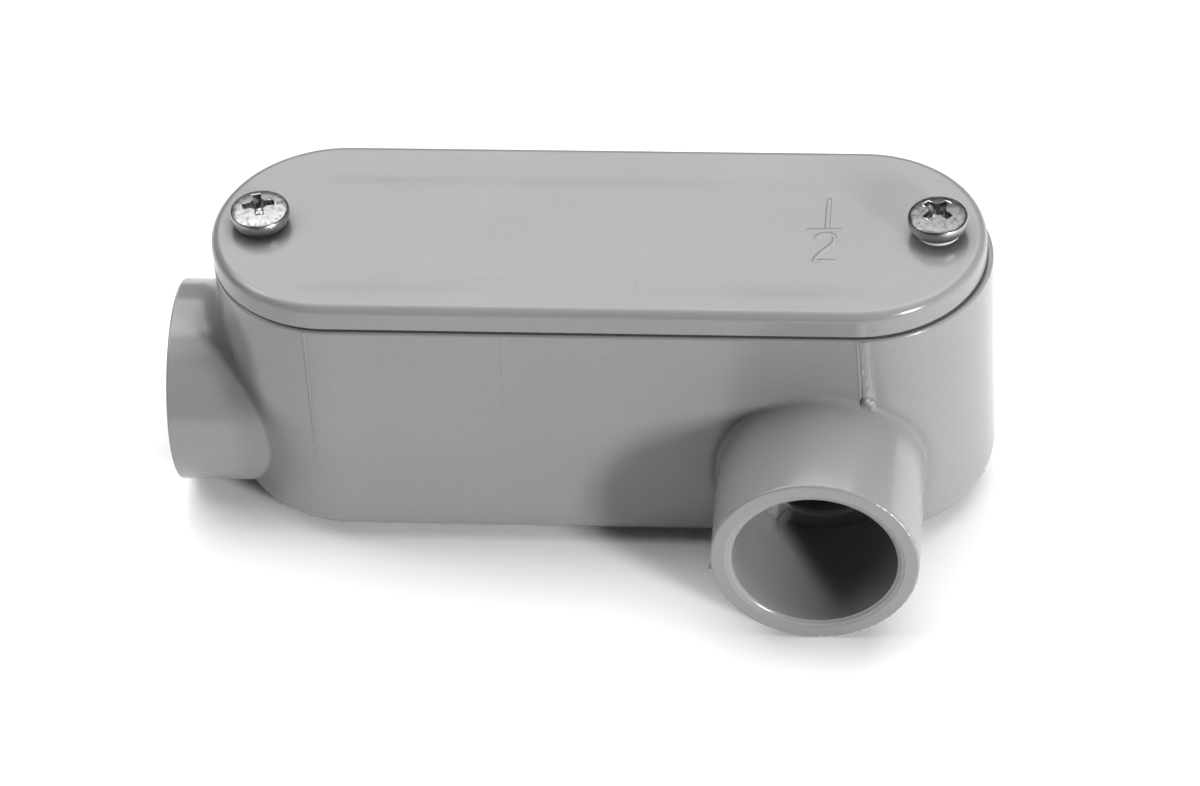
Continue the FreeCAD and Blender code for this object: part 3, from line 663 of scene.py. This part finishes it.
# ------------------------------------------------------------------- screws
def spun(profile, seg, centre):
    """closed surface of revolution from (r, z) pairs that start and end on the axis"""
    verts, faces = [], []
    first = len(verts)
    verts.append((centre[0], centre[1], centre[2] + profile[0][1]))
    for r, z in profile[1:-1]:
        for j in range(seg):
            a = 2 * math.pi * j / seg
            verts.append((centre[0] + r * math.cos(a), centre[1] + r * math.sin(a), centre[2] + z))
    verts.append((centre[0], centre[1], centre[2] + profile[-1][1]))
    rings = len(profile) - 2
    for j in range(seg):
        k = (j + 1) % seg
        faces.append((0, 1 + k, 1 + j))
        for i in range(rings - 1):
            a, b = 1 + i * seg, 1 + (i + 1) * seg
            faces.append((a + j, a + k, b + k, b + j))
        a = 1 + (rings - 1) * seg
        faces.append((a + j, a + k, len(verts) - 1))
    return verts, faces


def arc(cx, cz, r, a0, a1, n):
    return [(cx + r * math.cos(math.radians(a0 + (a1 - a0) * i / n)), cz + r * math.sin(math.radians(a0 + (a1 - a0) * i / n)))
            for i in range(n + 1)]


def solid(name, verts, faces):
    me = bpy.data.meshes.new(name)
    me.from_pydata([(x * MM, y * MM, z * MM) for x, y, z in verts], [], faces)
    bm = bmesh.new()
    bm.from_mesh(me)
    bmesh.ops.recalc_face_normals(bm, faces=bm.faces)
    bm.to_mesh(me)
    bm.free()
    o = bpy.data.objects.new(name, me)
    bpy.context.scene.collection.objects.link(o)
    return o


def cross_cutter(name, centre, turn, long_top, half_top, long_low, half_low, top, low):
    """a cross that narrows as it goes down, with eased inner corners"""
    def ring(a, b, ease, z, k):
        pts = []
        for q in range(4):
            for x, y in ((a, -b), (a, b), (b + ease, b), (b, b + ease)):
                c, s = math.cos(math.radians(turn + 90 * q)), math.sin(math.radians(turn + 90 * q))
                pts.append((centre[0] + x * c - y * s, centre[1] + x * s + y * c, centre[2] + z))
        return pts
    levels = [(long_top * 1.12, half_top * 1.25, 0.50, top), (long_top, half_top, 0.42, top - 0.42),
              ((long_top + long_low) / 2 + 0.1, (half_top + half_low) / 2, 0.18, (top + low) / 2),
              (long_low, half_low, 0.06, low + 0.1), (long_low * 0.45, half_low * 0.7, 0.02, low)]
    verts = []
    for i, (a, b, e, z) in enumerate(levels):
        verts += ring(a, b, e, z, i)
    faces = grid_faces(len(levels), 16, True)
    faces.append(tuple(range(15, -1, -1)))
    last = (len(levels) - 1) * 16
    faces.append(tuple(range(last, last + 16)))
    return solid(name, verts, faces)


def baked(obj):
    deps = bpy.context.evaluated_depsgraph_get()
    me = bpy.data.meshes.new_from_object(obj.evaluated_get(deps))
    obj.modifiers.clear()
    obj.data = me
    return obj


# the crown of the pan head, (radius, height over the seat) from the axis to the rounded rim
CROWN = [(0.0, 2.46), (0.6, 2.455), (1.2, 2.43), (1.8, 2.395), (2.4, 2.34), (2.8, 2.29), (3.1, 2.24), (3.35, 2.18), (3.55, 2.115),
         (3.70, 2.04), (3.80, 1.97), (3.87, 1.89)]


def build_screw(node, name, x, seat, turn, off, collar, level):
    centre = (x, 0.0, seat)
    # pan head: foot drawn in, bellied side, crisp rim, domed crown
    profile = [(0.0, 0.0), (2.0, 0.0), (3.40, 0.0), (3.51, 0.05), (3.61, 0.17), (3.73, 0.37), (3.84, 0.62), (3.92, 0.90),
               (3.96, 1.20), (3.965, 1.45), (3.95, 1.64), (3.91, 1.80)] + CROWN[::-1]
    verts, faces = spun(profile, 96, centre)
    head = solid(name, verts, faces)
    cutter = cross_cutter(name + "_cut", (x + off[0], off[1], seat), turn, 2.26, 0.55, 1.00, 0.36, 2.75, 0.75)
    mod = head.modifiers.new("recess", "BOOLEAN")
    mod.operation, mod.solver, mod.object = "DIFFERENCE", "EXACT", cutter
    bpy.context.view_layer.update()
    baked(head)
    bpy.data.objects.remove(cutter)
    bm = bmesh.new()
    bm.from_mesh(head.data)
    # worn metal: the crown is dented a little, most of all round the recess
    for v in bm.verts:
        p = v.co / MM
        r = math.hypot(p.x - centre[0], p.y - centre[1])
        if p.z > seat + 2.0:
            q = Vector((p.x * 0.9, p.y * 0.9, seat))
            v.co.z += MM * 0.035 * noise.noise(q) * smooth_step((3.6 - r) / 0.6)
    # threaded shank, cut thread of 0.79 mm pitch
    length, pitch, root, crest, seg = 12.6, 0.79, 1.66, 2.04, 28
    rows = int(length / pitch * 8)
    grid = []
    for i in range(rows + 1):
        z = -length * i / rows
        ring = []
        for j in range(seg):
            ph = (z / pitch + j / seg) % 1.0
            saw = 1.0 - abs(2 * ph - 1.0)
            r = root + (crest - root) * smooth_step(saw * 1.25)
            r *= 1.0 - 0.55 * smooth_step((-z - length + 1.6) / 1.6)
            r = r if z < -0.8 else root + (r - root) * smooth_step(-z / 0.8)
            a = 2 * math.pi * j / seg
            ring.append(bm.verts.new(((x + r * math.cos(a)) * MM, r * math.sin(a) * MM, (seat + z + 0.02) * MM)))
        grid.append(ring)
    for i in range(rows):
        for j in range(seg):
            k = (j + 1) % seg
            bm.faces.new((grid[i][j], grid[i + 1][j], grid[i + 1][k], grid[i][k]))
    bm.faces.new(list(grid[-1]))
    bm.faces.new(list(grid[0]))
    # plain shoulder under the head, seen where the screw stands off the cover
    cv, cf = spun([(0.0, 0.05), (2.30, 0.05), (2.30, -collar + 0.02), (0.0, -collar + 0.01)], 64, centre)
    base = [bm.verts.new((a * MM, b * MM, c * MM)) for a, b, c in cv]
    for f in cf:
        bm.faces.new([base[i] for i in f])
    bmesh.ops.recalc_face_normals(bm, faces=bm.faces)
    me = bpy.data.meshes.new(name)
    bm.to_mesh(me)
    bm.free()
    me.polygons.foreach_set("use_smooth", [True] * len(me.polygons))
    me.set_sharp_from_angle(angle=math.radians(32))
    me.materials.clear()
    me.materials.append(steel(name + "_steel", centre, off, level))
    head.data = me
    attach(head, node)
    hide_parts(node)
    return head


# the same plated steel on both screws; the far crown's darker base colour (0.17 against 0.30) is painted shade for its
# dimmer reflection
build_screw("screw_end", "cover_screw_end", SCREW_END, COVER_TOP + END_PROUD, 14.0, (-0.20, 0.42), END_PROUD, 0.30)
build_screw("screw_far", "cover_screw_far", SCREW_FAR, COVER_TOP + FAR_PROUD, 48.0, (-0.10, 0.58), FAR_PROUD, 0.17)

# the flange at the foot of the far screw's shoulder, pale as a painted reflection, and the burr that the driver raised
# round each recess
m = Nodes("screw_flange_painted_sheen")
# painted reflection: the flange's pale colour stands in for the bright light it catches
m.link(m.grey(m.span(m.noise(1.5, 3.0), 0.3, 0.7, 0.9, 1.1), 0.66), m.bsdf.inputs["Base Color"])
m.link(m.span(m.noise(2.0, 2.0), 0.3, 0.7, 0.34, 0.44), m.bsdf.inputs["Roughness"])
m.link(m.bump(m.noise(3.0, 2.0), 0.2, 0.03), m.bsdf.inputs["Normal"])
FLANGE = m.mat
foot = COVER_TOP + 0.01
verts, faces = spun([(0.0, 0.30), (2.32, 0.30), (2.50, 0.27), (2.74, 0.22), (2.90, 0.15), (2.98, 0.08), (2.99, 0.03), (2.96, 0.0), (0.0, 0.0)],
                    72, (SCREW_FAR, 0.0, foot))
add_object("screw_far_flange", verts, faces, FLANGE, "screw_far", sharp=60)

m = Nodes("screw_burr_steel")
m.link(m.grey(m.span(m.noise(2.5, 3.0), 0.3, 0.7, 0.8, 1.2), 0.55), m.bsdf.inputs["Base Color"])
m.bsdf.inputs["Metallic"].default_value = 1.0
m.link(m.span(m.noise(2.0, 2.0), 0.3, 0.7, 0.28, 0.38), m.bsdf.inputs["Roughness"])
BURR = m.mat


def burr(name, node, x, seat, off, turn, path, width, height):
    """a thin ragged line of raised metal on the crown, its path given from the middle of the recess"""
    c, s = math.cos(math.radians(turn)), math.sin(math.radians(turn))
    pts = []
    for i in range(len(path) - 1):
        for k in range(6):
            u = k / 6.0
            a, b = (path[i][j] + (path[i + 1][j] - path[i][j]) * u for j in (0, 1))
            px, py = off[0] + a * c - b * s, off[1] + a * s + b * c
            z = float(np.interp(math.hypot(px, py), [p[0] for p in CROWN], [p[1] for p in CROWN]))
            pts.append((x + px, py, seat + z - 0.01))
    n = len(pts)
    bead(name, pts, [(0.0, 0.0, 1.0)] * n, taper(n, width, 0.15, 0.15, 0.4), taper(n, height, 0.15, 0.15, 0.3), BURR, node,
         sink=0.03, rough=0.9, seed=x)


END = ("screw_end", SCREW_END, COVER_TOP + END_PROUD, (-0.20, 0.42), 14.0)
FAR = ("screw_far", SCREW_FAR, COVER_TOP + FAR_PROUD, (-0.10, 0.58), 48.0)
burr("screw_end_burr_back", *END, [(-0.66, 1.1), (-0.66, 2.22), (0.62, 2.26), (0.64, 1.2)], 0.20, 0.06)
burr("screw_end_burr_left", *END, [(-1.2, 0.62), (-2.20, 0.62), (-2.32, -0.2), (-2.24, -0.62)], 0.18, 0.05)
burr("screw_end_burr_right", *END, [(1.1, 0.64), (2.1, 0.62), (2.30, 0.2), (2.28, -0.62), (1.5, -0.64)], 0.18, 0.05)
burr("screw_far_burr_left", *FAR, [(-0.9, -0.66), (-1.7, -0.66), (-2.22, -0.62), (-2.28, 0.3)], 0.20, 0.05)
burr("screw_far_burr_back", *FAR, [(-0.64, 1.2), (-0.64, 2.1), (-0.2, 2.30), (0.60, 2.26), (0.66, 1.0)], 0.24, 0.07)
burr("screw_far_burr_right", *FAR, [(1.1, 0.64), (2.1, 0.64), (2.30, 0.1), (2.26, -0.60)], 0.22, 0.06)


# --------------------------------------------------------- floor and lights
me = bpy.data.meshes.new("floor")
me.from_pydata([(-3, -3, 0), (3, -3, 0), (3, 3, 0), (-3, 3, 0)], [], [(0, 1, 2, 3)])
floor = bpy.data.objects.new("floor", me)
bpy.context.scene.collection.objects.link(floor)
m = Nodes("pale_floor")
m.link(m.grey(m.span(m.noise(0.01, 2.0), 0.3, 0.7, 0.995, 1.005), 0.90), m.bsdf.inputs["Base Color"])
m.bsdf.inputs["Roughness"].default_value = 0.7
me.materials.append(m.mat)
floor.visible_diffuse = False
floor.visible_glossy = False
floor.visible_shadow = False
# the lit part of the table top, which throws light back up at the object
me = bpy.data.meshes.new("table_glow")
me.from_pydata([(-0.50, -0.15, -0.0005), (0.60, -0.15, -0.0005), (0.60, 0.80, -0.0005), (-0.50, 0.80, -0.0005)], [], [(0, 1, 2, 3)])
glow = bpy.data.objects.new("table_glow", me)
bpy.context.scene.collection.objects.link(glow)
me.materials.append(m.mat)
glow.visible_camera = False
glow.visible_shadow = False

# name: (position in m, aim in m, width, height, watts)
LIGHTS = {
    "key": ((0.73, -0.72, 0.27), (0.01, -0.01, 0.02), 0.16, 0.22, 12.4),
    "top_far": ((0.0, 1.28, 1.10), (0.0, 1.28, 0.0), 1.80, 0.56, 10.0),
    "top_back": ((0.0, 0.75, 1.10), (0.0, 0.75, 0.0), 1.80, 0.50, 9.5),
    "top_mid": ((0.0, 0.25, 1.10), (0.0, 0.25, 0.0), 1.80, 0.50, 11.3),
    "top_near": ((0.0, -0.26, 1.10), (0.0, -0.26, 0.0), 1.80, 0.40, 2.6),
    "left_high": ((-0.75, 0.05, 0.80), (0.0, -0.01, 0.02), 0.50, 0.50, 3.5),
    "left": ((-0.93, -0.36, 0.30), (-0.02, 0.0, 0.02), 0.22, 0.22, 0.3),
    "right_low": ((1.00, -0.10, 0.15), (0.02, 0.0, 0.02), 0.25, 0.25, 3.2),
}
# (axis, direction, strength) of the light that comes from each side of the room
SKY = [("X", 1.0, 0.02), ("Y", 1.0, 0.02)]
for name, (pos, aim, sx, sy, watts) in LIGHTS.items():
    if watts <= 0:
        continue
    data = bpy.data.lights.new(name, "AREA")
    data.shape = "RECTANGLE"
    data.size, data.size_y, data.energy = sx, sy, watts
    lamp = bpy.data.objects.new(name, data)
    lamp.matrix_world = Matrix.Translation(pos) @ (Vector(aim) - Vector(pos)).to_track_quat("-Z", "Y").to_matrix().to_4x4()
    bpy.context.scene.collection.objects.link(lamp)
    # the low fill only lifts the shade: it leaves no mirror image on the flat top
    lamp.visible_glossy = name != "right_low"
world = bpy.data.worlds.new("studio")
bpy.context.scene.world = world
world.use_nodes = True
sky = world.node_tree
background = sky.nodes["Background"]
background.inputs["Color"].default_value = (1.0, 1.0, 1.0, 1.0)
split = sky.nodes.new("ShaderNodeSeparateXYZ")
sky.links.new(sky.nodes.new("ShaderNodeTexCoord").outputs["Generated"], split.inputs[0])
total = None
for axis, sign, level in SKY:
    # the light of one side of the room, strongest straight from there
    part = sky.nodes.new("ShaderNodeMapRange")
    part.inputs["From Min"].default_value, part.inputs["From Max"].default_value = 0.0, sign
    part.inputs["To Min"].default_value, part.inputs["To Max"].default_value = 0.0, level
    sky.links.new(split.outputs[axis], part.inputs["Value"])
    if total is None:
        total = part.outputs["Result"]
    else:
        add = sky.nodes.new("ShaderNodeMath")
        add.operation = "ADD"
        sky.links.new(total, add.inputs[0])
        sky.links.new(part.outputs["Result"], add.inputs[1])
        total = add.outputs[0]
sky.links.new(total, background.inputs["Strength"])

# ------------------------------------------------------------------- camera
cam = bpy.data.cameras.new("camera")
cam.sensor_fit, cam.sensor_width = "HORIZONTAL", 36.0
cam.lens = 5326.379 * 36.0 / 1200.0
cam.clip_start, cam.clip_end = 0.05, 20.0
camera = bpy.data.objects.new("camera", cam)
rows = [[0.9944880488, 0.0877902719, -0.0573270351],
        [0.0164999038, -0.6709764479, -0.7412950556],
        [-0.1035435849, 0.7362631829, -0.6687265895]]
right, down, ahead = (Vector(r) for r in rows)
place = Vector((72.99857946, -530.59625077, 494.10969197)) * MM
mat = Matrix((right, -down, -ahead)).transposed().to_4x4()
camera.matrix_world = Matrix.Translation(place) @ mat
bpy.context.scene.collection.objects.link(camera)
bpy.context.scene.camera = camera
bpy.context.scene.view_settings.view_transform = "Standard"
bpy.context.scene.view_settings.look = "None"
